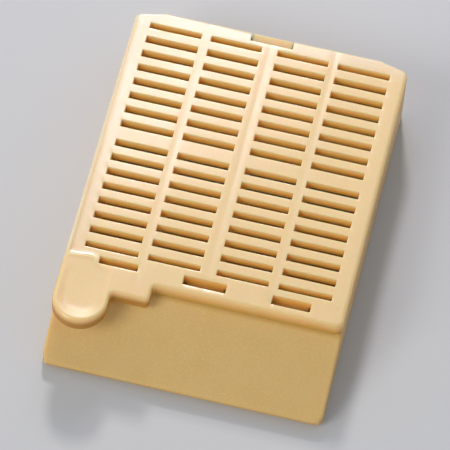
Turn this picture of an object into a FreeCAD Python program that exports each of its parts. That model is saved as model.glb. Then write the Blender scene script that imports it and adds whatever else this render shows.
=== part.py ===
"""Tissue cassette: a slotted tray with a sloping writing panel, and a slotted lid that swings up
at its rear edge.

Two moulded acetal pieces, in millimetres:

  base   tray with a slotted floor, four walls, the writing panel in front and the hinge post
  lid    slotted plate with the thumb tab, the three snap tongues and the hinge pins

Frame: the origin is under the middle of the cassette, on the surface that it rests on.
+X points right, +Y points to the hinge and +Z up. The lid is shut.
"""
import FreeCAD, Part
import math
import os

from FreeCAD import Vector

# ---- Overall sizes -------------------------------------------------------------------------
cassette_width = 28.5
cassette_length = 40.0
cassette_height = 7.5          # to the flat top of the lid
lid_thickness = 1.6            # at the lid's rim
lid_length = 32.4             # from the rear edge to the front edge between the tabs

# ---- Plan corners, shared by the lid and the tray ------------------------------------------
corner_cut_along = 3.0         # the rear corners are cut off at a shallow angle
corner_cut_back = 0.77
corner_radius = 0.8

# ---- Tray ----------------------------------------------------------------------------------
wall = 1.1
floor_thickness = 1.0
pocket_radius = 0.8            # inside corners of the tray

# ---- Writing panel -------------------------------------------------------------------------
panel_thickness = 1.0
panel_front_top = 1.25         # height of the panel's upper front edge
panel_front_bottom = 0.75
panel_toe = 1.0                # length of the slope under the front edge
panel_front_bar = 0.9          # solid depth behind the front edge
panel_corner_radius = 1.0

# ---- Slots, the same field in the lid and in the floor -------------------------------------
rows_per_group = 8
row_pitch = 1.783
group_gap = 0.617               # added to the pitch between the two groups of rows
slot_opening = 0.84
end_slot_opening = 0.7         # the first and the last row are narrower
inner_slot_length = 5.3
outer_slot_length = 5.4
centre_bar = 1.66
side_bar = 1.0
rear_land = 1.6               # from the lid's rear edge to the last row

# ---- Lid plate -----------------------------------------------------------------------------
plate_thickness = 1.1         # in the slotted field
top_edge_radius = 0.35         # less than the corner radii in plan
rib_width = 0.7                # low ribs under the bars that run front to rear
rib_depth = 0.2
skirt_thickness = 0.6          # guides inside the tray's side walls
skirt_depth = 0.6
skirt_clearance = 0.1
skirt_end_gap = 1.5            # from each end wall of the tray

# ---- Tabs on the lid's front edge ----------------------------------------------------------
thumb_tab_width = 5.52
thumb_tab_reach = 5.97          # from the lid's front edge to the end of the tab
step_tab_width = 3.83
step_tab_reach = 1.87
step_corner_radius = 0.4
thumb_ridge_height = 0.15      # ridge behind the thumb pad
thumb_ridge_setback = 1.8      # ridge line behind the lid's front edge
thumb_ridge_ramp = 0.3
thumb_ridge_width = 2.9
thumb_dish_depth = 0.32
thumb_dish_rim = 0.35
thumb_dish_lip = 1.0           # width of the sloping face in front of the dish
thumb_dish_start = 0.7         # start of the dish in front of the lid's front edge

# ---- Snap tongues and the windows above them -----------------------------------------------
window_offset = 8.77           # of the two outer windows from the middle
outer_window_width = 3.93
middle_window_width = 4.36
window_opening = 1.08
tab_window_opening = 0.84      # the window beside the thumb tab is narrower
window_to_row = 0.775           # bar between the windows and the first row
tongue_thickness = 0.62
tongue_side_gap = 0.25
barb_reach = 0.38
barb_height = 0.5
barb_slope = 0.4               # height of the sloping end under the barb
catch_height = 0.8
catch_lead = 0.4               # height of the sloping lead-in on top of the catch
catch_gap = 0.12               # between barb and catch, front to rear and up and down

# ---- Hinge ---------------------------------------------------------------------------------
notch_width = 4.4
notch_depth = wall             # the notch takes out the whole depth of the rear rim
post_side_clearance = 0.1
post_front_clearance = 0.12
post_rear_drop = 0.25          # top of the post under the top of the lid, at the rear edge
post_slope_drop = 0.35         # further fall of the post's top towards the front
hinge_setback = 0.42           # hinge axis in front of the rear edge
hinge_drop = 0.85              # hinge axis under the top of the lid
hinge_pin_radius = 0.22
hinge_pin_length = 0.35
hinge_clearance = 0.04         # radial, between pin and socket
socket_end_gap = 0.1
swing_clearance = 0.1          # under and in front of the lid's rear edge as it swings

# ---- Worked out from the sizes above -------------------------------------------------------
half_width = cassette_width / 2
rear_y = cassette_length / 2
front_y = -cassette_length / 2
rim_z = cassette_height - lid_thickness
lid_front_y = rear_y - lid_length
plate_under_z = cassette_height - plate_thickness
panel_angle = math.atan2(rim_z - panel_front_top, lid_front_y - front_y)
pocket_half_width = half_width - wall
pocket_rear_y = rear_y - wall
last_row_y = rear_y - rear_land - end_slot_opening / 2
first_row_y = last_row_y - (2 * rows_per_group - 1) * row_pitch - group_gap
window_rear_y = first_row_y - end_slot_opening / 2 - window_to_row
pocket_front_y = window_rear_y - window_opening
hinge_y = rear_y - hinge_setback
hinge_z = cassette_height - hinge_drop
swing_radius = math.hypot(hinge_setback, hinge_z - rim_z)
thumb_tab_radius = thumb_tab_width / 2
thumb_tab_x = -half_width + thumb_tab_radius
thumb_tab_y = lid_front_y - thumb_tab_reach + thumb_tab_radius
overshoot = 1.0                # how far a cutter runs past the face that it cuts


def box(x_low, x_high, y_low, y_high, z_low, z_high):
    """A block between two corners."""
    return Part.makeBox(x_high - x_low, y_high - y_low, z_high - z_low, Vector(x_low, y_low, z_low))


def plan_prism(points, z_low, z_high):
    """A plan outline, raised from z_low to z_high."""
    corners = [Vector(x, y, z_low) for x, y in points]
    face = Part.Face(Part.makePolygon(corners + corners[:1]))
    return face.extrude(Vector(0, 0, z_high - z_low))


def side_prism(points, x_low, x_high):
    """An outline in Y and Z, drawn out from x_low to x_high."""
    corners = [Vector(x_low, y, z) for y, z in points]
    face = Part.Face(Part.makePolygon(corners + corners[:1]))
    return face.extrude(Vector(x_high - x_low, 0, 0))


def round_uprights(solid, corners, radius):
    """Round the upright edges that stand at the given plan corners."""
    picked = []
    for edge in solid.Edges:
        first, last = edge.Vertexes[0].Point, edge.Vertexes[-1].Point
        upright = math.hypot(first.x - last.x, first.y - last.y) < 1e-6
        if upright and any(math.hypot(first.x - x, first.y - y) < 1e-6 for x, y in corners):
            picked.append(edge)
    return solid.makeFillet(radius, picked)


def rear_corner_points():
    """Plan corners of the rear end, from right to left."""
    return [
        (half_width, rear_y - corner_cut_back),
        (half_width - corner_cut_along, rear_y),
        (-half_width + corner_cut_along, rear_y),
        (-half_width, rear_y - corner_cut_back),
    ]


def slot_rows():
    """Middle line and opening of each row of slots, from front to rear."""
    rows = []
    count = 2 * rows_per_group
    for row in range(count):
        gap = group_gap if row >= rows_per_group else 0
        opening = end_slot_opening if row in (0, count - 1) else slot_opening
        rows.append((first_row_y + row * row_pitch + gap, opening))
    return rows


def slot_field(z_low, z_high):
    """Cutters for the whole field: each row has four slots, mirrored about the centre bar."""
    inner_start = centre_bar / 2
    outer_start = inner_start + inner_slot_length + side_bar
    spans = [(inner_start, inner_start + inner_slot_length), (outer_start, outer_start + outer_slot_length)]
    cutters = []
    for middle_y, opening in slot_rows():
        for start, end in spans:
            for low, high in ((start, end), (-end, -start)):
                cutters.append(box(low, high, middle_y - opening / 2, middle_y + opening / 2, z_low, z_high))
    return cutters


def windows():
    """Middle, width and opening of the three windows, from left to right."""
    return [
        (-window_offset, outer_window_width, tab_window_opening),
        (0, middle_window_width, window_opening),
        (window_offset, outer_window_width, window_opening),
    ]


# ---- Lid -----------------------------------------------------------------------------------
def lid_blank():
    """The lid's outline with both tabs, at its full thickness and with a rounded top edge."""
    step_right_x = -half_width + thumb_tab_width + step_tab_width
    tab_right_x = -half_width + thumb_tab_width
    step_y = lid_front_y - step_tab_reach
    outline = rear_corner_points() + [
        (-half_width, thumb_tab_y),
        (tab_right_x, thumb_tab_y),
        (tab_right_x, step_y),
        (step_right_x, step_y),
        (step_right_x, lid_front_y),
        (half_width, lid_front_y),
    ]
    blank = plan_prism(outline, rim_z, cassette_height)
    disc = Part.makeCylinder(thumb_tab_radius, lid_thickness, Vector(thumb_tab_x, thumb_tab_y, rim_z))
    blank = blank.fuse(disc).removeSplitter()
    small_corners = [(tab_right_x, step_y), (step_right_x, step_y), (step_right_x, lid_front_y)]
    blank = round_uprights(blank, small_corners, step_corner_radius)
    blank = round_uprights(blank, rear_corner_points() + [(half_width, lid_front_y)], corner_radius)
    top_edges = [edge for edge in blank.Edges if edge.BoundBox.ZMin > cassette_height - 1e-6]
    return blank.makeFillet(top_edge_radius, top_edges)


def thumb_ridge():
    """A low wedge whose crest stands behind the thumb pad and falls away to the front."""
    crest_y = lid_front_y + thumb_ridge_setback
    profile = [
        (crest_y + thumb_ridge_ramp, rim_z),
        (crest_y + thumb_ridge_ramp, cassette_height),
        (crest_y, cassette_height + thumb_ridge_height),
        (lid_front_y - thumb_dish_start, cassette_height),
        (lid_front_y - thumb_dish_start, rim_z),
    ]
    left = -half_width + thumb_dish_rim
    return side_prism(profile, left, left + thumb_ridge_width)


def thumb_dish():
    """The hollow of the thumb pad: a floor that falls to the front and turns up into a lip."""
    start_y = lid_front_y - thumb_dish_start
    floor_z = cassette_height - thumb_dish_depth
    outer_radius = thumb_tab_radius - thumb_dish_rim
    inner_radius = outer_radius - thumb_dish_lip
    height = thumb_dish_depth + overshoot
    spread = thumb_dish_lip * height / thumb_dish_depth
    base_point = Vector(thumb_tab_x, thumb_tab_y, floor_z)
    lip = Part.makeCone(inner_radius, inner_radius + spread, height, base_point)
    profile = [
        (start_y, cassette_height),
        (thumb_tab_y, floor_z),
        (thumb_tab_y, cassette_height + overshoot),
        (start_y, cassette_height + overshoot),
    ]
    ramp = side_prism(profile, thumb_tab_x - outer_radius, thumb_tab_x + outer_radius)
    return [lip, ramp]


def lid_underside():
    """Cutter for the recess under the plate, inside the rim."""
    return box(-pocket_half_width, pocket_half_width, pocket_front_y, pocket_rear_y, rim_z - overshoot, plate_under_z)


def lid_ribs():
    """Ribs under the centre bar and the two side bars, and the two side skirts."""
    side_bar_x = centre_bar / 2 + inner_slot_length + side_bar / 2
    ribs = []
    for middle_x in (-side_bar_x, 0, side_bar_x):
        ribs.append(box(middle_x - rib_width / 2, middle_x + rib_width / 2, window_rear_y, pocket_rear_y,
                        plate_under_z - rib_depth, plate_under_z))
    outer = pocket_half_width - skirt_clearance
    for low, high in ((-outer, -outer + skirt_thickness), (outer - skirt_thickness, outer)):
        ribs.append(box(low, high, pocket_front_y + skirt_end_gap, pocket_rear_y - skirt_end_gap,
                        rim_z - skirt_depth, plate_under_z))
    return ribs


def tongue(middle_x, width):
    """One snap tongue, hung from the bar behind its window, with the barb facing forward."""
    front = window_rear_y
    rear = front + tongue_thickness
    barb_top = rim_z - catch_height - catch_gap
    tip_z = barb_top - barb_height - barb_slope
    profile = [
        (rear, plate_under_z),
        (front, plate_under_z),
        (front, barb_top),
        (front - barb_reach, barb_top),
        (front - barb_reach, barb_top - barb_height),
        (front, tip_z),
        (rear, tip_z),
    ]
    half = width / 2 - tongue_side_gap
    return side_prism(profile, middle_x - half, middle_x + half)


def hinge_pins():
    """Two short pins that face each other across the notch."""
    pins = []
    for side in (-1, 1):
        start = Vector(side * (notch_width / 2 + overshoot), hinge_y, hinge_z)
        length = hinge_pin_length + overshoot
        pins.append(Part.makeCylinder(hinge_pin_radius, length, start, Vector(-side, 0, 0)))
    return pins


def make_lid():
    blank = lid_blank().fuse(thumb_ridge())
    notch = box(-notch_width / 2, notch_width / 2, rear_y - notch_depth, rear_y + overshoot,
                rim_z - overshoot, cassette_height + overshoot)
    cutters = thumb_dish() + [lid_underside(), notch]
    cutters += slot_field(rim_z, cassette_height + overshoot)
    for middle_x, width, opening in windows():
        cutters.append(box(middle_x - width / 2, middle_x + width / 2, window_rear_y - opening, window_rear_y,
                           rim_z - overshoot, cassette_height + overshoot))
    lid = blank.cut(cutters)
    tongues = [tongue(middle_x, width) for middle_x, width, opening in windows()]
    return lid.fuse(lid_ribs() + tongues + hinge_pins()).removeSplitter()


# ---- Base ----------------------------------------------------------------------------------
def base_blank():
    """The outer form: the plan outline and the side outline together."""
    outline = rear_corner_points() + [(-half_width, front_y), (half_width, front_y)]
    plan = plan_prism(outline, 0, rim_z)
    plan = round_uprights(plan, rear_corner_points(), corner_radius)
    plan = round_uprights(plan, [(-half_width, front_y), (half_width, front_y)], panel_corner_radius)
    side_outline = [
        (rear_y, 0),
        (rear_y, rim_z),
        (lid_front_y, rim_z),
        (front_y, panel_front_top),
        (front_y, panel_front_bottom),
        (front_y + panel_toe, 0),
    ]
    return plan.common(side_prism(side_outline, -half_width, half_width))


def tray_pocket():
    """Cutter for the specimen space."""
    corners = [
        (-pocket_half_width, pocket_front_y),
        (pocket_half_width, pocket_front_y),
        (pocket_half_width, pocket_rear_y),
        (-pocket_half_width, pocket_rear_y),
    ]
    return round_uprights(plan_prism(corners, floor_thickness, rim_z + overshoot), corners, pocket_radius)


def panel_hollow():
    """Cutter for the space behind the writing panel, open at the bottom."""
    drop = panel_thickness / math.cos(panel_angle)
    slope = math.tan(panel_angle)
    low_y = front_y + panel_front_bar
    high_y = pocket_front_y - wall
    profile = [
        (low_y, -overshoot),
        (high_y, -overshoot),
        (high_y, min(rim_z - drop, panel_front_top + slope * (high_y - front_y) - drop)),
        (low_y, panel_front_top + slope * (low_y - front_y) - drop),
    ]
    return side_prism(profile, -pocket_half_width, pocket_half_width)


def catch(middle_x, width):
    """A nose on the front wall's inner face, with a lead-in, for one tongue's barb."""
    tip = window_rear_y - barb_reach - catch_gap
    profile = [
        (lid_front_y, rim_z - catch_height),
        (tip, rim_z - catch_height),
        (tip, rim_z - catch_lead),
        (pocket_front_y, rim_z),
        (lid_front_y, rim_z),
    ]
    return side_prism(profile, middle_x - width / 2, middle_x + width / 2)


def hinge_post():
    """The post that fills the lid's notch, with a socket for each pin."""
    half = notch_width / 2 - post_side_clearance
    post_front_y = rear_y - notch_depth + post_front_clearance
    top_rear = cassette_height - post_rear_drop
    profile = [
        (post_front_y, floor_thickness),
        (rear_y, floor_thickness),
        (rear_y, top_rear),
        (post_front_y, top_rear - post_slope_drop),
    ]
    post = side_prism(profile, -half, half)
    sockets = []
    for side in (-1, 1):
        start = Vector(side * (half + overshoot), hinge_y, hinge_z)
        depth = hinge_pin_length - post_side_clearance + socket_end_gap + overshoot
        radius = hinge_pin_radius + hinge_clearance
        sockets.append(Part.makeCylinder(radius, depth, start, Vector(-side, 0, 0)))
    return post.cut(sockets)


def make_base():
    reach = swing_radius + swing_clearance
    relief = box(-half_width - overshoot, half_width + overshoot, hinge_y - reach, rear_y + overshoot,
                 hinge_z - reach, rim_z + overshoot)
    cutters = [tray_pocket(), panel_hollow(), relief] + slot_field(-overshoot, floor_thickness + overshoot)
    tray = base_blank().cut(cutters)
    catches = [catch(middle_x, width) for middle_x, width, opening in windows()]
    return tray.fuse(catches + [hinge_post()]).removeSplitter()


os.makedirs("parts", exist_ok=True)
for name, shape in (("base", make_base()), ("lid", make_lid())):
    shape.exportStep("parts/" + name + ".step")
    print(name, "solids", len(shape.Solids), "volume mm3", round(shape.Volume, 1), "valid", shape.isValid())
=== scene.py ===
"""Tissue cassette: the slotted lid and the tray with its writing panel, as moulded plastic pieces,
with a plain stage. Laid out as an add-on and run as a script.

The pieces are modelled in millimetres, which suits the mesh tools' tolerances, and each is brought
to metres once its shape is finished.
"""

import math
from types import SimpleNamespace

import bmesh
import bpy
from mathutils import Matrix, Vector


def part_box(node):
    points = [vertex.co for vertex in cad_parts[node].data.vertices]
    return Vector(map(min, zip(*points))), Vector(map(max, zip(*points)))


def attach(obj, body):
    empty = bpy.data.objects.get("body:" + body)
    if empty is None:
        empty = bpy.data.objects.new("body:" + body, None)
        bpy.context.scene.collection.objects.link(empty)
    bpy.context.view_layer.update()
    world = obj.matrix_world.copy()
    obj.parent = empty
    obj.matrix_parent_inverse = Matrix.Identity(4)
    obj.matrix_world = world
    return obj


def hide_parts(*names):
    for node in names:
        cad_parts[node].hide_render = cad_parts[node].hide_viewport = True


bl_info = {
    "name": "Tissue Cassette",
    "version": (1, 0, 0),
    "blender": (4, 5, 0),
    "location": "View3D > Sidebar > Cassette",
    "description": "Models the lid and the tray of a tissue cassette around its packed frame",
    "category": "Add Mesh",
}

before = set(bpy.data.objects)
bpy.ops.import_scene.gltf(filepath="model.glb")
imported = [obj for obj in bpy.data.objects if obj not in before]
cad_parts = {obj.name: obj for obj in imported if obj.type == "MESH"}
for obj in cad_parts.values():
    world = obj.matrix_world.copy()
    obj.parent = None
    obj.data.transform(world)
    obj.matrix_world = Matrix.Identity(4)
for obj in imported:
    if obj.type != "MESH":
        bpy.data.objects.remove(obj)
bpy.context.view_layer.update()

MM = 1000.0  # millimetres in a metre
LID_BOX = [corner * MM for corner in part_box("lid")]
BASE_BOX = [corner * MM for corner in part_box("base")]


# ---- Sizes and colours ----
def setting(kind, **options):
    """A maker of one kind of setting, which takes a default and a description."""
    return lambda default, description: kind(default=default, description=description, **options)


def length(default, description):
    """A length, written here in millimetres and kept in metres, that is shown with its unit."""
    return setting(bpy.props.FloatProperty, min=0.0, precision=5, subtype="DISTANCE", unit="LENGTH")(
        default / MM, description)


share = setting(bpy.props.FloatProperty, min=0.0, max=1.0, subtype="FACTOR")
colour = setting(bpy.props.FloatVectorProperty, min=0.0, max=1.0, size=3, subtype="COLOR")
power = setting(bpy.props.FloatProperty, min=0.0)
focal_length = setting(bpy.props.FloatProperty, min=1.0, unit="CAMERA")
count = setting(bpy.props.IntProperty, min=1)


def labelled(group):
    """Label each setting of a group with its own name."""
    for name, entry in group.__annotations__.items():
        entry.keywords["name"] = name.replace("_", " ").capitalize()
    return group


@labelled
class OutlineSizes(bpy.types.PropertyGroup):
    """Sizes that the lid and the tray share."""
    width: length(LID_BOX[1].x - LID_BOX[0].x, "Width of the cassette")
    rear: length(BASE_BOX[1].y, "Distance of the rear edge from the middle")
    front: length(-BASE_BOX[0].y, "Distance of the front edge from the middle")
    rim_height: length(5.9, "Height of the joint between the tray and the lid")
    corner_cut_along: length(3.0, "Length of the rear corner cut along the rear edge")
    corner_cut_back: length(0.77, "Length of the rear corner cut along the side")
    corner_radius: length(0.8, "Radius of the plan corners")
    wall: length(1.1, "Thickness of the tray's walls")
    edge_radius: length(0.12, "Radius of the small moulded edges")


@labelled
class SlotSizes(bpy.types.PropertyGroup):
    """The field of slots in the lid and in the floor, and the three windows of the lid."""
    rows_per_group: count(8, "Rows of slots in each of the two groups")
    row_pitch: length(1.783, "Distance between the middles of two rows")
    group_gap: length(0.617, "Added to the pitch between the two groups")
    opening: length(0.84, "Front to rear opening of a slot")
    end_opening: length(0.7, "Opening of the first and the last row")
    inner_length: length(5.3, "Length of the slots beside the centre bar")
    outer_length: length(5.4, "Length of the outer slots")
    centre_bar: length(1.66, "Width of the bar down the middle")
    side_bar: length(1.0, "Width of the other two long bars")
    rear_land: length(1.6, "From the rear edge to the last row")
    window_offset: length(8.77, "Distance of the outer windows from the middle")
    window_width: length(3.93, "Width of the outer windows")
    middle_window_width: length(4.36, "Width of the middle window")
    window_opening: length(1.08, "Front to rear opening of the windows")
    tab_window_opening: length(0.84, "Opening of the window beside the thumb tab")
    window_to_row: length(0.775, "Bar between the windows and the first row")


@labelled
class LidSizes(bpy.types.PropertyGroup):
    """The lid's plate, rim, tabs and tongues."""
    top: length(7.5, "Height of the lid's flat top")
    front: length(12.4, "Distance of the lid's front edge from the middle")
    plate: length(1.1, "Thickness of the slotted plate")
    rim_radius: length(0.4, "Radius of the outer top edge")
    slot_edge: length(0.07, "Radius of the slots' edges")
    rim_band: length(0.42, "Width of the band that carries the rounded edge")
    thumb_width: length(5.52, "Width of the thumb tab")
    thumb_reach: length(5.97, "From the lid's front edge to the end of the thumb tab")
    step_width: length(3.83, "Width of the step tab")
    step_reach: length(1.87, "From the lid's front edge to the end of the step tab")
    step_radius: length(0.45, "Plan radius of the step tab's corners")
    ridge_height: length(0.14, "Height of the ridge behind the thumb pad")
    ridge_setback: length(1.6, "Distance of the ridge behind the lid's front edge")
    ridge_lead: length(0.3, "How far the ridge's right part lies behind its left end")
    ridge_width: length(3.1, "Length of the ridge from left to right")
    ridge_corner: length(1.0, "Radius of the bend at the ridge's right end")
    ridge_ramp: length(0.32, "Width of the ridge's rear slope")
    dish_depth: length(0.28, "Depth of the thumb pad's hollow near its front end")
    dish_rim: length(0.34, "Distance of the hollow from the tab's outline")
    dish_side: length(0.7, "Width of the hollow's slope along the sides")
    dish_lip: length(1.45, "Width of the hollow's slope at the front")
    pad_grid: length(0.28, "Mesh spacing on the thumb pad")
    ridge_grid: length(0.09, "Mesh spacing near the ridge")
    rib_width: length(0.7, "Width of the ribs under the long bars")
    rib_depth: length(0.2, "Depth of the ribs under the long bars")
    skirt_thickness: length(0.6, "Thickness of the guides inside the side walls")
    skirt_depth: length(0.6, "Depth of the guides below the lid's rim")
    skirt_clearance: length(0.1, "Gap between the guides and the side walls")
    skirt_end_gap: length(1.5, "Gap between the guides' ends and the end walls")
    tongue_thickness: length(0.62, "Thickness of the snap tongues")
    tongue_side_gap: length(0.25, "From the window's end to the tongue's side")
    barb_reach: length(0.38, "Reach of the barbs")
    barb_height: length(0.5, "Height of the barbs' front faces")
    barb_slope: length(0.4, "Height of the slope under the barbs")
    barb_drop: length(0.92, "From the rim down to the barbs' tops")


@labelled
class TraySizes(bpy.types.PropertyGroup):
    """The tray's floor, writing panel and catches."""
    floor: length(1.0, "Thickness of the slotted floor")
    pocket_radius: length(0.8, "Radius of the specimen pocket's corners")
    panel_corner_radius: length(1.0, "Plan radius of the panel's front corners")
    panel_side_radius: length(0.28, "Radius of the panel's side and front edges")
    panel_thickness: length(1.0, "Thickness of the writing panel")
    panel_front_top: length(1.25, "Height of the panel's upper front edge")
    panel_front_bottom: length(0.75, "Height of the panel's lower front edge")
    panel_toe: length(1.0, "Length of the slope under the front edge")
    panel_front_bar: length(0.9, "Solid depth behind the front edge")
    catch_height: length(0.8, "Height of the catches on the front wall")
    catch_lead: length(0.4, "Height of the slope on top of the catches")
    catch_gap: length(0.12, "Gap between a barb and its catch")


@labelled
class HingeSizes(bpy.types.PropertyGroup):
    """The lid's notch and pins, and the tray's post."""
    notch_width: length(4.4, "Width of the lid's rear notch")
    notch_depth: length(1.1, "Depth of the lid's rear notch")
    post_side_clearance: length(0.1, "Gap between the post and the notch's ends")
    post_front_clearance: length(0.12, "Gap in front of the post")
    post_rear_drop: length(0.25, "Post's rear edge under the lid's top")
    post_slope_drop: length(0.35, "Further fall of the post's top to the front")
    axis_setback: length(0.42, "Hinge axis in front of the rear edge")
    axis_drop: length(0.85, "Hinge axis under the lid's top")
    pin_radius: length(0.22, "Radius of the pins")
    pin_length: length(0.35, "Length of the pins")
    socket_radius: length(0.26, "Radius of the post's sockets")
    socket_depth: length(0.35, "Depth of the post's sockets")
    relief: length(0.96, "Room for the swing around the axis")


@labelled
class PlasticFinish(bpy.types.PropertyGroup):
    """Colours and textures of the moulded plastic, with painted light and shade on walls and rims."""
    body: colour((0.89, 0.68, 0.375), "Colour of the lid's open top faces")
    tray: colour((0.85, 0.58, 0.235), "Colour of the tray")
    # Painted light: a brighter colour at the top of the slots' walls, standing in for the light that reaches
    # and comes through there.
    edge: colour((1.0, 0.755, 0.43), "Colour just inside the slots' edges, where light comes through")
    # Painted shade: the deeper colour further down inside the slots, where less light reaches.
    wall: colour((0.95, 0.585, 0.15), "Deeper colour of the walls inside the slots")
    # Painted shade: the lid's outer walls are shaded copies of the top's colour, lightest here at their top.
    rim: colour((0.95, 0.65, 0.285), "Colour at the top of the lid's outer walls")
    # Painted shade: darker towards the foot of the lid's front wall; also used along the lid's front edge on
    # the writing face.
    lip: colour((0.73, 0.37, 0.052), "Colour at the foot of the lid's front wall")
    # Painted shade: darker still at the foot of the tabs' walls.
    tab_foot_shade: colour((0.54, 0.25, 0.026), "Colour at the foot of the tabs' walls")
    # Painted sheen: a paler colour standing in for the lamps' light on the lid's top and rim at the rear and
    # on the left.
    pale: colour((0.90, 0.76, 0.54), "Colour of the lid's rim at the rear and on the left")
    # Painted shade: a darker colour on the tray's long sides and front edge.
    flank: colour((0.68, 0.42, 0.145), "Colour of the tray's long sides and front edge")
    post: colour((0.84, 0.635, 0.35), "Colour of the hinge post's top")
    writing: colour((0.79, 0.55, 0.208), "Colour of the etched writing face")
    gloss: share(0.22, "Roughness of the satin surfaces")
    writing_gloss: share(0.68, "Roughness of the etched writing face")
    glow: share(0.85, "Share of the light that spreads inside the plastic")
    grain: length(0.0022, "Depth of the fine moulded grain")
    sink: length(0.017, "Depth of the sink marks over the ribs")


@labelled
class StageSettings(bpy.types.PropertyGroup):
    """Floor, lights and camera."""
    floor: colour((0.62, 0.63, 0.65), "Colour of the floor")
    key_power: power(1.4, "Power of the key light")
    sheen_power: power(0.0185, "Power of the light that gives the sheen")
    fill_power: power(1.62, "Power of the fill light")
    sky: share(0.43, "Strength of the even light from all sides")
    lens: focal_length(392.0, "Focal length of the camera")


GROUPS = {
    "cassette_outline": OutlineSizes,
    "cassette_slots": SlotSizes,
    "cassette_lid": LidSizes,
    "cassette_tray": TraySizes,
    "cassette_hinge": HingeSizes,
    "cassette_finish": PlasticFinish,
    "cassette_stage": StageSettings,
}


def sizes_in_mm(scene):
    """All the size groups of a scene as plain numbers in millimetres."""
    groups = {}
    for key in ("outline", "slots", "lid", "tray", "hinge"):
        group = getattr(scene, "cassette_" + key)
        values = {name: getattr(group, name) for name in group.__annotations__}
        groups[key] = SimpleNamespace(**{name: value if isinstance(value, int) else value * MM
                                         for name, value in values.items()})
    return SimpleNamespace(**groups)


# ---- Modelling helpers ----
def start_piece(name, add, low=(0, 0, 0), high=(0, 0, 0)):
    """Add a unit primitive, open it for modelling and stretch it to the space between two corners."""
    if bpy.context.mode != "OBJECT":
        to_object_mode()
    bpy.ops.object.select_all(action="DESELECT")
    add()
    piece = bpy.context.object
    piece.name = piece.data.name = name
    bpy.ops.object.mode_set(mode="EDIT")
    size = [upper - lower for lower, upper in zip(low, high)]
    middle = [(upper + lower) / 2 for lower, upper in zip(low, high)]
    bpy.ops.transform.resize(value=[extent or 1 for extent in size])
    bpy.ops.transform.translate(value=middle)
    return piece


def plane():
    bpy.ops.mesh.primitive_plane_add(size=1, location=(0, 0, 0))


def cube():
    bpy.ops.mesh.primitive_cube_add(size=1, location=(0, 0, 0))


def cylinder():
    bpy.ops.mesh.primitive_cylinder_add(vertices=24, radius=0.5, depth=1, location=(0, 0, 0))


def pick(kind, test):
    """Select the visible vertices, edges or faces that pass a test."""
    bpy.ops.mesh.select_mode(type=kind)
    bpy.ops.mesh.select_all(action="DESELECT")
    mesh = bmesh.from_edit_mesh(bpy.context.edit_object.data)
    for part in {"VERT": mesh.verts, "EDGE": mesh.edges, "FACE": mesh.faces}[kind]:
        if not part.hide and test(part):
            part.select_set(True)
    mesh.select_flush_mode()
    bmesh.update_edit_mesh(bpy.context.edit_object.data)


def pick_all():
    bpy.ops.mesh.select_all(action="SELECT")


def pick_faces(test):
    """Select faces by a test of their middle and normal."""
    pick("FACE", lambda face: test(face.calc_center_median(), face.normal))


def anywhere(at, normal):
    """The test that every face passes."""
    return True


def pick_edges(test):
    """Select edges by a test of their two ends."""
    pick("EDGE", lambda edge: test(edge.verts[0].co, edge.verts[1].co))


def pick_edges_at(y, z):
    """Select the edges that run across the cassette at one depth and height."""
    pick_edges(lambda a, b: near(a.y, y) and near(b.y, y) and near(a.z, z) and near(b.z, z))


def near(first, second, gap=1e-3):
    return abs(first - second) < gap


def extrude(x=0.0, y=0.0, z=0.0):
    bpy.ops.mesh.extrude_region_move(TRANSFORM_OT_translate={"value": (x, y, z)})


def move(x=0.0, y=0.0, z=0.0):
    bpy.ops.transform.translate(value=(x, y, z))


def cut(at, normal, drop=False, fill=False):
    """Cut the selected faces along a plane, and drop what lies in front of it if asked."""
    bpy.ops.mesh.bisect(plane_co=at, plane_no=Vector(normal).normalized(), clear_outer=drop, use_fill=fill,
                        threshold=1e-4)


def bevel(offset, segments, affect="EDGES"):
    bpy.ops.mesh.bevel(offset=offset, offset_type="OFFSET", segments=segments, profile=0.5,
                       affect=affect, clamp_overlap=False)


def round_corner(x, y, radius, segments, turn=90):
    """Round a corner of a flat outline, where the outline turns by an angle in degrees."""
    pick("VERT", lambda vertex: near(vertex.co.x, x) and near(vertex.co.y, y))
    bevel(radius * math.tan(math.radians(turn) / 2), segments, "VERTICES")


def rule(lines_x, lines_y, inside):
    """Cut the visible faces that pass a test along lines in x and in y."""
    for x in sorted(set(lines_x)):
        pick_faces(inside)
        cut((x, 0, 0), (1, 0, 0))
    for y in sorted(set(lines_y)):
        pick_faces(inside)
        cut((0, y, 0), (0, 1, 0))


def between(low, high, step, taken, gap):
    """Evenly spaced lines between two ends that stay clear of the lines taken already."""
    lines = [low + step * number for number in range(1, int((high - low) / step) + 1)]
    return [line for line in lines if all(abs(line - other) > gap for other in taken)]


def face_outwards():
    pick_all()
    bpy.ops.mesh.normals_make_consistent(inside=False)


def to_object_mode():
    bpy.ops.object.mode_set(mode="OBJECT")


def activate(piece):
    """Make a piece the only selected one, which the tools act on."""
    bpy.ops.object.select_all(action="DESELECT")
    bpy.context.view_layer.objects.active = piece
    piece.select_set(True)


def modify(piece, name, kind, **options):
    """Run a modifier on the active piece."""
    modifier = piece.modifiers.new(name, kind)
    for option, value in options.items():
        setattr(modifier, option, value)
    bpy.ops.object.modifier_apply(modifier=modifier.name)


def combine(piece, other, operation):
    """Add or cut another solid, which is used up."""
    activate(piece)
    modify(piece, "Combine", "BOOLEAN", operation=operation, solver="EXACT", object=other)
    bpy.data.meshes.remove(other.data)


def join(piece, other):
    """Take another solid into the piece as it is."""
    activate(piece)
    other.select_set(True)
    bpy.ops.object.join()


def round_small_edges(piece, radius):
    """Round all the edges that are still sharp."""
    activate(piece)
    modify(piece, "Edges", "BEVEL", width=radius, segments=3, limit_method="ANGLE",
           angle_limit=math.radians(32), use_clamp_overlap=False)


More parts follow.
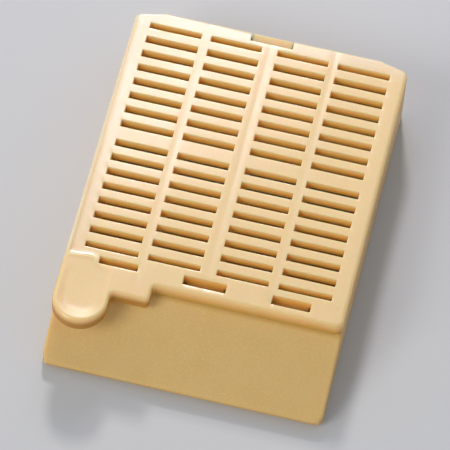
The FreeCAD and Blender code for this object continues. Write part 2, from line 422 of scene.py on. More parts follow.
def bring_to_metres(piece):
    """Scale the finished piece to metres and smooth it."""
    piece.scale = (1 / MM, 1 / MM, 1 / MM)
    bpy.ops.object.transform_apply(location=True, rotation=True, scale=True)
    bpy.ops.object.shade_smooth()
    modify(piece, "Normals", "WEIGHTED_NORMAL", keep_sharp=True)


# ---- Shared layout ----
def row_spans(sizes):
    """Front and rear edge of each row of slots, from front to rear."""
    slots = sizes.slots
    rows = 2 * slots.rows_per_group
    last = sizes.outline.rear - slots.rear_land - slots.end_opening / 2
    first = last - (rows - 1) * slots.row_pitch - slots.group_gap
    spans = []
    for row in range(rows):
        middle = first + row * slots.row_pitch + (slots.group_gap if row >= slots.rows_per_group else 0)
        opening = slots.end_opening if row in (0, rows - 1) else slots.opening
        spans.append((middle - opening / 2, middle + opening / 2))
    return spans


def column_spans(slots):
    """Left and right end of the four slots of a row."""
    inner = slots.centre_bar / 2
    outer = inner + slots.inner_length + slots.side_bar
    right = [(inner, inner + slots.inner_length), (outer, outer + slots.outer_length)]
    return [(-high, -low) for low, high in reversed(right)] + right


def bar_middles(slots):
    """Middles of the three long bars, from left to right."""
    side = slots.centre_bar / 2 + slots.inner_length + slots.side_bar / 2
    return (-side, 0.0, side)


def window_rows(sizes):
    """Left, right, front and rear of the three windows, from left to right."""
    slots = sizes.slots
    back = row_spans(sizes)[0][0] - slots.window_to_row
    return [(middle - width / 2, middle + width / 2, back - opening, back) for middle, width, opening in (
        (-slots.window_offset, slots.window_width, slots.tab_window_opening),
        (0.0, slots.middle_window_width, slots.window_opening),
        (slots.window_offset, slots.window_width, slots.window_opening))]


def pocket_sides(sizes):
    """Half width, front and rear of the specimen pocket."""
    outline = sizes.outline
    return outline.width / 2 - outline.wall, window_rows(sizes)[1][2], outline.rear - outline.wall


def in_any(value, spans):
    return any(low < value < high for low, high in spans)


def edges_of(spans):
    return [edge for span in spans for edge in span]


def cut_rear_corners(outline, z):
    """Cut the two rear corners off a flat outline."""
    half = outline.width / 2
    for side in (-1, 1):
        pick_all()
        cut((side * half, outline.rear - outline.corner_cut_back, z),
            (side * outline.corner_cut_back, outline.corner_cut_along, 0), drop=True)


def round_rear_corners(outline):
    """Round both ends of the rear corner cuts."""
    half, radius = outline.width / 2, outline.corner_radius
    shallow = math.degrees(math.atan2(outline.corner_cut_back, outline.corner_cut_along))
    for side in (-1, 1):
        round_corner(side * half, outline.rear - outline.corner_cut_back, radius, segments=8,
                     turn=90 - shallow)
        round_corner(side * (half - outline.corner_cut_along), outline.rear, radius, segments=4, turn=shallow)


def hinge_cylinder(name, x, radius, reach, sizes):
    """A cylinder on the hinge's axis, with its middle at an x."""
    outline, lid, hinge = sizes.outline, sizes.lid, sizes.hinge
    piece = start_piece(name, cylinder)
    bpy.ops.transform.rotate(value=math.pi / 2, orient_axis="Y", center_override=(0, 0, 0))
    bpy.ops.transform.resize(value=(reach * 2, radius * 2, radius * 2))
    move(x, outline.rear - hinge.axis_setback, lid.top - hinge.axis_drop)
    to_object_mode()
    return piece


# ---- Lid ----
def lid_outline(sizes):
    """The lid's plan outline with both tabs, as one flat face."""
    outline, lid = sizes.outline, sizes.lid
    half = outline.width / 2
    piece = start_piece("lid_shell", plane, (-half, -lid.front, lid.top), (half, outline.rear, lid.top))
    cut_rear_corners(outline, lid.top)
    thumb_right = -half + lid.thumb_width
    step_right = thumb_right + lid.step_width
    rule((thumb_right, step_right), (), anywhere)
    step_front = -lid.front - lid.step_reach
    thumb_front = -lid.front - lid.thumb_reach
    for line, end, new_line in ((-lid.front, step_right, step_front), (step_front, thumb_right, thumb_front)):
        pick_edges(lambda a, b: near(a.y, line) and near(b.y, line) and a.x + b.x < 2 * end)
        extrude(y=new_line - line)
    face_outwards()
    pick_faces(anywhere)
    bpy.ops.mesh.dissolve_faces(use_verts=False)
    round_rear_corners(outline)
    round_corner(half, -lid.front, outline.corner_radius, segments=8)
    for x, y in ((step_right, -lid.front), (step_right, step_front), (thumb_right, step_front)):
        round_corner(x, y, lid.step_radius, segments=6)
    flat = 0.01  # left between the two arcs of the thumb tab's end
    for x in (-half, thumb_right):
        round_corner(x, thumb_front, lid.thumb_width / 2 - flat, segments=24)
    return piece


def limited(value):
    """A value held between 0 and 1."""
    return min(max(value, 0.0), 1.0)


def eased(value):
    """A value held between 0 and 1 that starts and ends gently."""
    value = limited(value)
    return value * value * (3 - 2 * value)


class ThumbPad:
    """The hollow of the thumb pad and the ridge behind it, as shares of their full depth and height."""
    beside_window = 0.62   # of the ridge's setback: where the hollow widens
    deepest = 0.55         # of the tab's radius: from its centre to the deepest place
    left_gap = 0.4         # of the hollow's rim: start of the ridge
    right_fade = 1.2       # length over which the ridge's right end runs out
    front_fade = 2.4       # length over which the ridge's right side runs out to the front
    bead_line = 0.12       # from the ridge's edge to the line of its bead
    bead_widths = (0.14, 0.26)  # of the bead's inner and outer slope
    bead_length = 0.95     # of the bead's part in front of the crest
    bead_fade = 0.5

    def __init__(self, sizes):
        lid = self.lid = sizes.lid
        self.left = -sizes.outline.width / 2
        self.right = self.left + lid.thumb_width - lid.dish_rim
        self.radius = lid.thumb_width / 2
        self.middle = Vector((self.left + self.radius, -lid.front - lid.thumb_reach + self.radius))
        self.crest = -lid.front + lid.ridge_setback
        self.ridge_right = self.left + lid.dish_rim + lid.ridge_width

    def hollow(self, x, y):
        """Depth of the hollow at a place."""
        lid, middle = self.lid, self.middle
        if y >= middle.y:
            widening = self.crest - lid.ridge_setback * self.beside_window + 0.5 - y
            right = self.ridge_right + (self.right - self.ridge_right) * eased(widening)
            inward = min((x - self.left - lid.dish_rim) / lid.dish_side, (right - x) / lid.dish_side)
        else:
            reach = math.hypot(x - middle.x, y - middle.y)
            frontness = (middle.y - y) / max(reach, 1e-6)
            lip = lid.dish_side + (lid.dish_lip - lid.dish_side) * frontness ** 1.5
            inward = (self.radius - lid.dish_rim - reach) / lip
        lowest = middle.y - self.radius * self.deepest
        along = limited((self.crest - y) / (self.crest - lowest))
        return (0.35 * eased(inward) + 0.65 * limited(inward)) * along

    def ridge(self, x, y):
        """Height of the ridge at a place."""
        lid, crest = self.lid, self.crest
        line = crest + lid.ridge_lead * ((x - self.left) / lid.ridge_width - 0.5)
        over_x = max(x - (self.ridge_right - lid.ridge_corner), 0.0)
        over_y = max(y - (line - lid.ridge_corner), 0.0)
        from_edge = lid.ridge_corner - math.hypot(over_x, over_y)
        step = eased(from_edge / lid.ridge_ramp + 0.5) * eased((self.ridge_right - x) / self.right_fade)
        fade = limited((y - (crest - self.front_fade)) / self.front_fade)
        slope = self.bead_widths[0 if from_edge > self.bead_line else 1]
        bead = math.exp(-((from_edge - self.bead_line) / slope) ** 2)
        bead *= eased((y - (crest - self.bead_length)) / self.bead_fade)
        to_left = (x - self.left - lid.dish_rim * self.left_gap) / lid.ridge_ramp
        return (step * fade * 0.5 + bead * 0.5) * eased(to_left)

    def covers(self, place):
        """Whether a place of the mesh is on or near the pad's top."""
        return place.x < self.right + 1.0 and place.y < self.crest + 1.0 and place.z > self.lid.top - 0.3


def shape_thumb_pad(piece, sizes):
    """Raise the ridge behind the thumb pad and hollow the pad, on its fine mesh."""
    pad = ThumbPad(sizes)
    for name, weight_at, height in (
            ("Hollow", pad.hollow, -sizes.lid.dish_depth), ("Ridge", pad.ridge, sizes.lid.ridge_height)):
        group = piece.vertex_groups.new(name=name)
        for vertex in piece.data.vertices:
            weight = weight_at(vertex.co.x, vertex.co.y) if pad.covers(vertex.co) else 0
            if weight > 0:
                group.add([vertex.index], weight, "REPLACE")
        modify(piece, name, "DISPLACE", direction="Z", mid_level=0.0, strength=height, vertex_group=name)
        piece.vertex_groups.remove(piece.vertex_groups[name])


def model_lid(sizes):
    """The whole lid, modelled from one flat outline."""
    outline, slots, lid, hinge = sizes.outline, sizes.slots, sizes.lid, sizes.hinge
    half = outline.width / 2
    piece = lid_outline(sizes)

    # a band all round carries the rounded rim, and everything else is ruled inside it
    bpy.ops.mesh.select_mode(type="EDGE")
    pick_all()
    bpy.ops.mesh.mark_seam(clear=False)
    pick_faces(anywhere)
    bpy.ops.mesh.inset(thickness=lid.rim_band, depth=0, use_even_offset=True, use_boundary=True)
    bpy.ops.mesh.hide(unselected=True)

    rows = row_spans(sizes)
    columns = column_spans(slots)
    windows = window_rows(sizes)
    inner_half, inner_front, inner_rear = pocket_sides(sizes)
    ribs = [(middle - lid.rib_width / 2, middle + lid.rib_width / 2) for middle in bar_middles(slots)]
    guide = inner_half - lid.skirt_clearance
    guides = [(-guide, -guide + lid.skirt_thickness), (guide - lid.skirt_thickness, guide)]
    guide_ends = (inner_front + lid.skirt_end_gap, inner_rear - lid.skirt_end_gap)
    hang = windows[1][3]
    window_spans = [window[:2] for window in windows]
    tongues = [(low + lid.tongue_side_gap, high - lid.tongue_side_gap) for low, high in window_spans]
    lines_x = edges_of(columns) + edges_of(window_spans) + edges_of(ribs) + edges_of(guides)
    lines_x += [-inner_half, inner_half]
    lines_y = edges_of(rows) + [windows[0][2], inner_front, hang, hang + lid.tongue_thickness, inner_rear]
    lines_y += list(guide_ends)
    rule(lines_x, lines_y, anywhere)
    rule(edges_of(tongues), [], lambda at, normal: at.y < rows[0][0])

    # finer mesh on the thumb pad, and the finest near the ridge, clear of the lines above
    pad = ThumbPad(sizes)
    pad_right = -half + lid.thumb_width + 0.3
    pad_rear, pad_front = pad.crest + 0.45, -lid.front - lid.thumb_reach
    clear, clear_at_ridge = 0.17, 0.12
    bend = between(pad.ridge_right - lid.ridge_corner, pad.ridge_right + 0.2, lid.ridge_grid, lines_x,
                   clear_at_ridge)
    ramp = between(pad.crest - lid.ridge_corner, pad_rear, lid.ridge_grid, lines_y, clear_at_ridge)
    fine_x = between(-half, pad_right, lid.pad_grid, lines_x + bend, clear) + bend
    fine_y = between(pad_front, pad_rear, lid.pad_grid, lines_y + ramp, clear) + ramp
    rule(fine_x, fine_y, lambda at, normal: at.x < pad_right and at.y < pad_rear)

    # slots and windows
    def is_opening(at, normal):
        in_slot = in_any(at.x, columns) and in_any(at.y, rows)
        in_window = any(left < at.x < right and front < at.y < rear for left, right, front, rear in windows)
        return in_slot or in_window

    pick_faces(is_opening)
    bpy.ops.mesh.delete(type="FACE")
    bpy.ops.mesh.reveal(select=False)

    # hinge notch in the rear land
    notch_half = hinge.notch_width / 2
    notch_front = outline.rear - hinge.notch_depth
    land = outline.rear - slots.rear_land
    rule((-notch_half, notch_half), (), lambda at, normal: at.y > land)
    rule((), (notch_front,), lambda at, normal: abs(at.x) < notch_half and at.y > land)
    pick_faces(lambda at, normal: abs(at.x) < notch_half and at.y > notch_front)
    bpy.ops.mesh.delete(type="FACE")

    pick_all()
    extrude(z=-lid.plate)
    face_outwards()

    # underside: rim, guides, ribs and tongues
    under = lid.top - lid.plate

    def grow(bottom, test):
        """Draw the faces of the plate's underside that pass a test down to a height."""
        pick_faces(lambda at, normal: normal.z < -0.9 and near(at.z, under) and test(at))
        extrude(z=bottom - under)

    barb_top = outline.rim_height - lid.barb_drop
    grow(outline.rim_height, lambda at: abs(at.x) > inner_half or at.y < inner_front or at.y > inner_rear)
    grow(outline.rim_height - lid.skirt_depth,
         lambda at: in_any(at.x, guides) and guide_ends[0] < at.y < guide_ends[1])
    grow(under - lid.rib_depth,
         lambda at: in_any(at.x, ribs) and hang + lid.tongue_thickness < at.y < inner_rear)
    grow(barb_top, lambda at: in_any(at.x, tongues) and hang < at.y < hang + lid.tongue_thickness)
    extrude(z=-lid.barb_height - lid.barb_slope)
    tip = barb_top - lid.barb_height - lid.barb_slope
    pick_faces(lambda at, normal: normal.y < -0.9 and near(at.y, hang) and tip < at.z < barb_top)
    extrude(y=-lid.barb_reach)
    pick_edges_at(hang - lid.barb_reach, tip)
    move(z=lid.barb_slope)

    # rounded rim
    pick("EDGE", lambda edge: edge.seam and all(near(vertex.co.z, lid.top) for vertex in edge.verts)
         and any(abs(face.normal.z) < 0.1 for face in edge.link_faces))
    bevel(lid.rim_radius, segments=6)
    to_object_mode()

    # hinge pins in the ends of the notch
    for x in (-notch_half, notch_half):
        join(piece, hinge_cylinder("pin", x, hinge.pin_radius, hinge.pin_length, sizes))
    round_small_edges(piece, lid.slot_edge)
    shape_thumb_pad(piece, sizes)
    bring_to_metres(piece)
    return piece


# ---- Tray ----
def block(low, high, slant_at=None, rise=0.0):
    """A cutter or lump between two corners, whose top edge at one depth can be raised or lowered."""
    piece = start_piece("block", cube, low, high)
    if slant_at is not None:
        pick_edges_at(slant_at, high[2])
        move(z=rise)
    to_object_mode()
    return piece


def tray_shell(sizes):
    """The tray's outer form: the plan outline, raised and cut to the side outline."""
    outline, tray, lid = sizes.outline, sizes.tray, sizes.lid
    half = outline.width / 2
    piece = start_piece("tray_shell", plane, (-half, -outline.front, 0), (half, outline.rear, 0))
    cut_rear_corners(outline, 0)
    round_rear_corners(outline)
    for side in (-1, 1):
        round_corner(side * half, -outline.front, tray.panel_corner_radius, segments=10)
    pick_all()
    extrude(z=outline.rim_height)
    pick_all()
    fall = outline.rim_height - tray.panel_front_top
    run = outline.front - lid.front
    cut((0, -lid.front, outline.rim_height), (0, -fall, run), drop=True, fill=True)
    pick_all()
    cut((0, -outline.front, tray.panel_front_bottom), (0, -tray.panel_front_bottom, -tray.panel_toe),
        drop=True, fill=True)
    face_outwards()

    def on_slope(point):
        height = tray.panel_front_top + (point.y + outline.front) * fall / run
        return near(point.z, height, 2e-3) and point.y < -lid.front + 1e-3

    def ends_at_rim(a, b):
        return near(a.y, -lid.front, 2e-3) and near(b.y, -lid.front, 2e-3)

    pick_edges(lambda a, b: on_slope(a) and on_slope(b) and not ends_at_rim(a, b))
    bevel(tray.panel_side_radius, segments=5)
    to_object_mode()
    return piece


def floor_slab(sizes):
    """The slotted floor, a little larger than the pocket."""
    overlap = sizes.outline.wall / 4
    half, front, rear = pocket_sides(sizes)
    piece = start_piece("floor", plane, (-half - overlap, front - overlap, 0),
                        (half + overlap, rear + overlap, 0))
    rows = row_spans(sizes)
    columns = column_spans(sizes.slots)
    rule(edges_of(columns), edges_of(rows), anywhere)
    pick_faces(lambda at, normal: in_any(at.x, columns) and in_any(at.y, rows))
    bpy.ops.mesh.delete(type="FACE")
    pick_all()
    extrude(z=sizes.tray.floor)
    face_outwards()
    to_object_mode()
    return piece


def model_tray(sizes):
    """The whole tray, from its outer form, its pocket, floor, panel hollow, catches and post."""
    outline, lid, tray, hinge = sizes.outline, sizes.lid, sizes.tray, sizes.hinge
    half = outline.width / 2
    inner_half, inner_front, inner_rear = pocket_sides(sizes)
    windows = window_rows(sizes)
    hang = windows[1][3]
    piece = tray_shell(sizes)

    pocket = start_piece("pocket", cube, (-inner_half, inner_front, -1),
                         (inner_half, inner_rear, outline.rim_height + 1))
    pick_edges(lambda a, b: near(a.x, b.x) and near(a.y, b.y))
    bevel(tray.pocket_radius, segments=6)
    to_object_mode()
    combine(piece, pocket, "DIFFERENCE")
    combine(piece, floor_slab(sizes), "UNION")

    # space behind the writing panel, open at the bottom
    slope = (outline.rim_height - tray.panel_front_top) / (outline.front - lid.front)
    drop = tray.panel_thickness / math.cos(math.atan(slope))
    low_y = -outline.front + tray.panel_front_bar
    high_y = inner_front - outline.wall
    low_z = tray.panel_front_top + slope * (low_y + outline.front) - drop
    high_z = min(outline.rim_height - drop, tray.panel_front_top + slope * (high_y + outline.front) - drop)
    combine(piece, block((-inner_half, low_y, -1), (inner_half, high_y, low_z), high_y, high_z - low_z),
            "DIFFERENCE")

    # room for the swinging lid, the hinge post and its sockets
    relief_front = outline.rear - outline.corner_cut_back - outline.corner_radius
    combine(piece, block((-half - 1, relief_front, lid.top - hinge.axis_drop - hinge.relief),
                         (half + 1, outline.rear + 1, outline.rim_height + 1)), "DIFFERENCE")
    post_half = hinge.notch_width / 2 - hinge.post_side_clearance
    post_front = outline.rear - hinge.notch_depth + hinge.post_front_clearance
    post_top = lid.top - hinge.post_rear_drop
    combine(piece, block((-post_half, post_front, tray.floor), (post_half, outline.rear, post_top),
                         post_front, -hinge.post_slope_drop), "UNION")
    for x in (-post_half, post_half):
        socket = hinge_cylinder("socket", x, hinge.socket_radius, hinge.socket_depth, sizes)
        combine(piece, socket, "DIFFERENCE")

    # catches on the front wall
    tip = hang - lid.barb_reach - tray.catch_gap
    catch_low = outline.rim_height - tray.catch_height
    for left, right, *_ in windows:
        lump = start_piece("catch", cube, (left, inner_front - outline.wall / 2, catch_low),
                           (right, inner_front, outline.rim_height))
        pick_faces(lambda at, normal: normal.y > 0.9)
        extrude(y=tip - inner_front)
        pick_edges_at(tip, outline.rim_height)
        move(z=-tray.catch_lead)
        to_object_mode()
        combine(piece, lump, "UNION")
    round_small_edges(piece, outline.edge_radius)
    bring_to_metres(piece)
    return piece


# ---- Materials ----
# sizes of the noises, in cells to a metre
WAVES, CLOUDS, ETCHING, SPECKLE = 150.0, 260.0, 1700.0, 5200.0
SLACK = 0.03  # millimetres by which a face may lie off its height
SINK_WIDTH = 0.42  # of the dip over a long bar, in millimetres


def operator(operation, swapped=False):
    """An operator between two signals, or between a signal and a number."""
    def apply(signal, other=0.0):
        first, second = (other, signal) if swapped else (signal, other)
        return signal.recipe.maths(operation, first, second)
    return apply


class Signal:
    """An output of a shader node, with the arithmetic that masks are made with."""

    def __init__(self, recipe, socket):
        self.recipe = recipe
        self.socket = socket

    __add__ = __radd__ = operator("ADD")
    __sub__ = operator("SUBTRACT")
    __rsub__ = operator("SUBTRACT", swapped=True)
    __mul__ = operator("MULTIPLY")
    __truediv__ = operator("DIVIDE")
    __pow__ = operator("POWER")
    __lt__ = operator("LESS_THAN")
    __gt__ = operator("LESS_THAN", swapped=True)
    __abs__ = operator("ABSOLUTE")


class Recipe:
    """A material's node tree, built one node at a time."""

    def __init__(self, name):
        self.material = bpy.data.materials.new(name)
        self.material.use_nodes = True
        self.tree = self.material.node_tree
        self.tree.nodes.clear()

    def node(self, kind, settings=None, inputs=None, output=0):
        """Add a node with its settings, then its sockets' values or links, and give one output."""
        node = self.tree.nodes.new(kind)
        for name, value in (settings or {}).items():
            setattr(node, name, value)
        for key, value in (inputs or {}).items():
            socket = node.inputs[key]
            if isinstance(value, Signal):
                self.tree.links.new(value.socket, socket)
            elif value is not None:
                socket.default_value = value
        return Signal(self, node.outputs[output]) if node.outputs else None

    def maths(self, operation, first, second=0.0):
        """The result of an operation on one or two values."""
        return self.node("ShaderNodeMath", {"operation": operation}, {0: first, 1: second})

    def least(self, value, other):
        """The lower of two values."""
        return self.maths("MINIMUM", value, other)

    def blend(self, mask, first, second, how="MIX"):
        """Two colours mixed by a mask."""
        first, second = [tone if isinstance(tone, Signal) else rgba(tone) for tone in (first, second)]
        return self.node("ShaderNodeMix", {"data_type": "RGBA", "blend_type": how},
                         {0: mask, 6: first, 7: second}, output=2)

    def ramp(self, value, low, high):
        """A mask that goes from one (position, tone) to another."""
        return self.node("ShaderNodeMapRange", None, {0: value, 1: low[0], 2: high[0], 3: low[1], 4: high[1]})

    def noise(self, place, scale, detail=2.0, roughness=0.5):
        """Soft noise from 0 to 1."""
        return self.node("ShaderNodeTexNoise", None,
                         {"Vector": place, "Scale": scale, "Detail": detail, "Roughness": roughness})

    def bump(self, depth, height, under=None):
        """Fine relief, on top of another relief if one is given."""
        return self.node("ShaderNodeBump", None,
                         {"Strength": 1.0, "Distance": depth, "Height": height, "Normal": under})

    def close(self, surface):
        """End with a surface, given by its sockets' values and links, and give the material."""
        shader = self.node("ShaderNodeBsdfPrincipled", None, surface)
        self.node("ShaderNodeOutputMaterial", None, {0: shader})
        return self.material


def rgba(tone):
    return (*tone, 1.0)


class Plastic(Recipe):
    """Satin moulded plastic with faint mottling, fine grain and painted light and shade. Positions are in
    millimetres.
    """

    def __init__(self, name, finish, sizes):
        super().__init__(name)
        self.finish = finish
        self.sizes = sizes
        self.place = self.node("ShaderNodeTexCoord", output=3)
        axes = self.node("ShaderNodeSeparateXYZ", None, {0: self.place}).socket.node.outputs
        self.across, self.along, self.height = [Signal(self, axis) * MM for axis in axes]
        self.clouds = self.noise(self.place, CLOUDS, 3.0)
        self.speckle = self.noise(self.place, SPECKLE, 2.0, 0.7)

    def mottled(self, tone, flecks=0.35):
        """A colour with darker clouds and a share of paler flecks."""
        darker = [tone[0] * 0.96, tone[1] * 0.93, tone[2] * 0.86]
        paler = [min(channel * 1.12, 1) for channel in tone]
        clouded = self.blend(self.ramp(self.clouds, (0.38, 0.0), (0.68, 0.6)), tone, darker)
        return self.blend(self.ramp(self.speckle, (0.5, 0.0), (0.75, flecks)), clouded, paler)

    def uneven(self, gloss):
        """A roughness that varies a little."""
        return gloss + (self.clouds - 0.5) * 0.14 + (self.speckle - 0.5) * 0.1

    def thumb_pad(self):
        """A mask of the thumb pad's hollow."""
        pad = ThumbPad(self.sizes)
        from_side = self.across - pad.middle.x
        from_tip = self.least(self.along - pad.middle.y, 0.0)
        reach = (from_side * from_side + from_tip * from_tip) ** 0.5
        return (reach < pad.radius - pad.lid.dish_rim) * (self.along < pad.crest)

    def pale_band(self, plain, behind_tabs):
        """The lid's top with a painted sheen: paler along the rear and the left edge, where the lamps light
        it.
        """
        left, rear = -self.sizes.outline.width / 2, self.sizes.outline.rear
        along_rear = self.ramp(self.along, (rear - 2.4, 0.0), (rear - 0.8, 0.8))
        along_left = self.ramp(self.across, (left + 0.8, 0.5), (left + 2.4, 0.0)) * behind_tabs
        return self.blend(self.least(along_rear + along_left, 0.8), plain, self.finish.pale)

    def outer_walls(self, fall, behind_tabs):
        """The lid's rim and outer walls: painted shade, deeper towards the foot and more so on the tabs,
        and a painted highlight at the top of the lit sides.
        """
        finish, rear = self.finish, self.sizes.outline.rear
        on_tabs = self.along < -self.sizes.lid.front - 0.2
        # painted shade: the walls darken towards their foot, faster on the tabs
        foot = self.blend(on_tabs, finish.lip, finish.tab_foot_shade)
        depth = self.ramp(fall * (1.0 + on_tabs * 0.6), (0.2, 0.0), (1.4, 1.0))
        shaded = self.blend(depth, finish.rim, foot)
        # painted highlight: the tops of the rims on the left and at the rear, which face the lamps, take the
        # paler colour
        lit_side = self.least((self.across < 0.0) + (self.along > rear - 1.0), 1.0)
        lit = behind_tabs * lit_side * self.ramp(fall, (0.35, 1.0), (0.75, 0.0))
        return self.blend(lit, shaded, finish.pale)

    def lid(self):
        """The lid. The walls of its slots and of its rim are deeper in colour than its top and its
        underside as painted shade, with painted light at the top of the slot walls and a painted sheen
        on the top and rim at the rear and on the left; the thumb pad's hollow counts as top."""
        finish, lid, outline = self.finish, self.sizes.lid, self.sizes.outline
        front = -lid.front
        on_pad = self.thumb_pad()
        inside = ((abs(self.across) < outline.width / 2 - outline.wall / 2)
                  * (self.along < outline.rear - outline.wall) * (self.along - 0.3 > front))
        fall = lid.top - self.height
        behind_tabs = self.ramp(self.along, (front, 0.0), (front + 3.5, 1.0))
        top = self.pale_band(self.mottled(finish.body), behind_tabs)
        # painted light and shade inside the slots and windows: brighter at the top of their walls, deeper
        # further down
        inner = self.blend(self.ramp(fall, (0.12, 0.0), (0.6, 1.0)), finish.edge, finish.wall)
        # painted shade: the walls, inside and out, are shaded copies of the top's plastic
        walls = self.blend(inside, self.outer_walls(fall, behind_tabs), inner)
        start = inside * 0.03 + on_pad * lid.dish_depth
        length_of_change = 0.12 - inside * 0.02
        walls = self.blend(self.ramp((fall - start) / length_of_change, (0.0, 0.0), (1.0, 1.0)), top, walls)
        ribs = lid.plate + lid.rib_depth
        under = (abs(fall - lid.plate) < SLACK) + self.ramp(fall, (ribs - SLACK, 0.0), (ribs + 0.3, 1.0))
        under = under * inside + (fall > lid.top - outline.rim_height - SLACK)
        rough = self.uneven(finish.gloss) + on_pad * 0.22 + (fall > 0.4) * 0.3
        return self.finished(self.blend(under, walls, top), rough, self.moulded())

    def tray(self):
        """The tray, with painted shade on its long sides and front edge and the hinge post's paler top."""
        finish, outline = self.finish, self.sizes.outline
        # painted shade on the tray's long sides and front edge
        side = (abs(self.across) > outline.width / 2 - 0.25) + (self.along < 0.1 - outline.front)
        tone = self.blend(self.least(side, 1.0), self.mottled(finish.tray), finish.flank)
        tone = self.blend(self.height > outline.rim_height + 0.3, tone, finish.post)
        return self.finished(tone, self.uneven(finish.gloss) + 0.25, self.moulded())

    def writing_face(self):
        """The etched writing face, with painted shade along the lid's front edge and painted shading that
        darkens it towards the front.
        """
        finish = self.finish
        top = -self.sizes.lid.front
        # painted shading: multiplied lighter towards the panel's top and darker towards its front
        shade = self.ramp(self.along, (top - 7.0, 0.97), (top - 0.5, 1.06))
        tone = self.blend(1.0, self.mottled(finish.writing, 0.9), shade, "MULTIPLY")
        # painted shade along the lid's front edge, where the panel runs under it
        tone = self.blend(self.ramp(self.along, (top - 0.4, 0.0), (top, 0.8)), tone, finish.lip)
        etching = self.speckle * 6.0 + self.noise(self.place, ETCHING) * 2.5
        return self.finished(tone, self.uneven(finish.writing_gloss), self.bump(finish.grain, etching))

    def moulded(self):
        """Fine grain on broad waves, with a sink mark over each long bar."""
        broad = self.noise(self.place, WAVES, 1.0) * 1.6
        for middle in bar_middles(self.sizes.slots):
            from_bar = (self.across - middle) / SINK_WIDTH
            broad = broad - self.maths("EXPONENT", from_bar * from_bar * -1.0)
        return self.bump(self.finish.grain, self.speckle, self.bump(self.finish.sink, broad))

    def finished(self, tone, rough, relief):
        """The material of a colour, roughness and relief."""
        return self.close({
            "Base Color": tone, "Roughness": rough, "Normal": relief, "IOR": 1.48,
            "Specular IOR Level": 0.8, "Subsurface Weight": self.finish.glow,
            "Subsurface Radius": (0.9, 0.55, 0.25), "Subsurface Scale": 0.001})


# ---- Operators ----
class CASSETTE_OT_lid(bpy.types.Operator):
    """Model the slotted lid with its thumb tab, step tab, tongues and hinge pins"""
    bl_idname = "cassette.lid"
    bl_label = "Slotted Lid"

    def execute(self, context):
        sizes = sizes_in_mm(context.scene)
        piece = model_lid(sizes)
        piece.data.materials.append(Plastic("lid plastic", context.scene.cassette_finish, sizes).lid())
        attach(piece, "lid")
        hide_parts("lid")
        return {"FINISHED"}


class CASSETTE_OT_tray(bpy.types.Operator):
    """Model the slotted tray with its writing panel, catches and hinge post"""
    bl_idname = "cassette.tray"
    bl_label = "Tray and Writing Panel"

    def execute(self, context):
        sizes = sizes_in_mm(context.scene)
        finish = context.scene.cassette_finish
        piece = model_tray(sizes)
        piece.data.materials.append(Plastic("tray plastic", finish, sizes).tray())
        piece.data.materials.append(Plastic("writing face plastic", finish, sizes).writing_face())
        lid_front = -sizes.lid.front / MM
        for polygon in piece.data.polygons:
            on_panel = polygon.center.y < lid_front and polygon.normal.z > 0.3
            polygon.material_index = int(on_panel)
        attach(piece, "base")
        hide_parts("base")
        return {"FINISHED"}


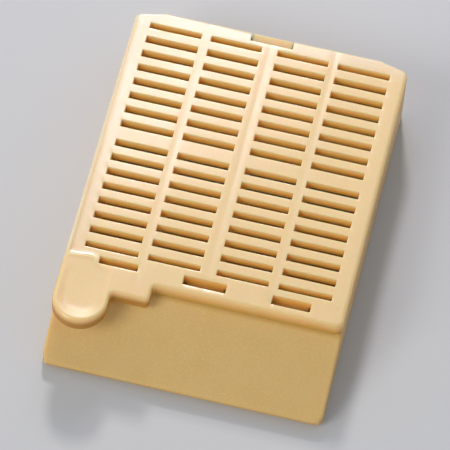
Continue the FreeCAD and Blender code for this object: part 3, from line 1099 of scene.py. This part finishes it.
class CASSETTE_OT_stage(bpy.types.Operator):
    """Add the plain floor, the lights and the camera"""
    bl_idname = "cassette.stage"
    bl_label = "Stage"

    def execute(self, context):
        settings = context.scene.cassette_stage
        bpy.ops.object.select_all(action="DESELECT")
        bpy.ops.mesh.primitive_plane_add(size=3, location=(0, 0, 0))
        floor = context.object
        floor.name = "stage_floor"
        floor.data.materials.append(Recipe("stage floor").close({
            "Base Color": rgba(settings.floor), "Roughness": 0.9, "Specular IOR Level": 0.2}))

        world = bpy.data.worlds.new("even light")
        world.use_nodes = True
        background = world.node_tree.nodes["Background"]
        background.inputs["Color"].default_value = (0.93, 0.96, 1.0, 1.0)
        background.inputs["Strength"].default_value = settings.sky
        context.scene.world = world

        self.lamp("key", settings.key_power, place=(-0.112, 0.454, 0.377), size=(0.07, 0.07),
                  tint=(1.0, 0.96, 0.9))
        self.lamp("sheen", settings.sheen_power, place=(-0.0165, 0.0785, 0.0955), size=(0.013, 0.045),
                  tint=(0.86, 0.80, 1.0), turn=-45.0)
        self.lamp("fill", settings.fill_power, place=(-0.36, -0.41, 0.42), size=(0.3, 0.3),
                  tint=(1.0, 0.97, 0.93))

        camera = bpy.data.objects.new("camera", bpy.data.cameras.new("camera"))
        context.scene.collection.objects.link(camera)
        place = Vector((0.038751, -0.267543, 0.415135))
        to_right = Vector((0.97276, 0.22539, 0.05428))
        to_top = Vector((-0.21802, 0.80980, 0.54469))
        turn = Matrix((to_right, to_top, to_right.cross(to_top))).transposed().to_4x4()
        camera.matrix_world = Matrix.Translation(place) @ turn
        camera.data.lens = settings.lens
        camera.data.sensor_width = 36.0
        camera.data.clip_start = 0.01
        context.scene.camera = camera
        context.scene.view_settings.view_transform = "Standard"
        return {"FINISHED"}

    def lamp(self, name, watts, place, size, tint, turn=0.0):
        """A soft rectangular light that faces the cassette, turned about its axis by some degrees."""
        light = bpy.data.lights.new(name, "AREA")
        light.shape = "RECTANGLE"
        light.size, light.size_y = size
        light.energy = watts
        light.color = tint
        lamp = bpy.data.objects.new(name, light)
        lamp.visible_camera = False
        bpy.context.scene.collection.objects.link(lamp)
        facing = Vector(place).to_track_quat("Z", "Y").to_matrix().to_4x4()
        lamp.matrix_world = Matrix.Translation(place) @ facing @ Matrix.Rotation(math.radians(turn), 4, "Z")


class CASSETTE_PT_panel(bpy.types.Panel):
    """Lists the cassette's sizes, colours and steps"""
    bl_label = "Tissue Cassette"
    bl_idname = "CASSETTE_PT_panel"
    bl_space_type = "VIEW_3D"
    bl_region_type = "UI"
    bl_category = "Cassette"

    def draw(self, context):
        for key, group in GROUPS.items():
            box = self.layout.box()
            box.label(text=group.__doc__)
            settings = getattr(context.scene, key)
            for name in group.__annotations__:
                box.prop(settings, name)
        for step in STEPS:
            self.layout.operator(step.bl_idname)


STEPS = (CASSETTE_OT_tray, CASSETTE_OT_lid, CASSETTE_OT_stage)
CLASSES = (*GROUPS.values(), *STEPS, CASSETTE_PT_panel)


def register():
    for cls in CLASSES:
        bpy.utils.register_class(cls)
    for key, group in GROUPS.items():
        setattr(bpy.types.Scene, key, bpy.props.PointerProperty(type=group))


def unregister():
    for key in GROUPS:
        delattr(bpy.types.Scene, key)
    for cls in reversed(CLASSES):
        bpy.utils.unregister_class(cls)


def main():
    register()
    bpy.ops.cassette.tray()
    bpy.ops.cassette.lid()
    bpy.ops.cassette.stage()


if __name__ == "__main__":
    main()
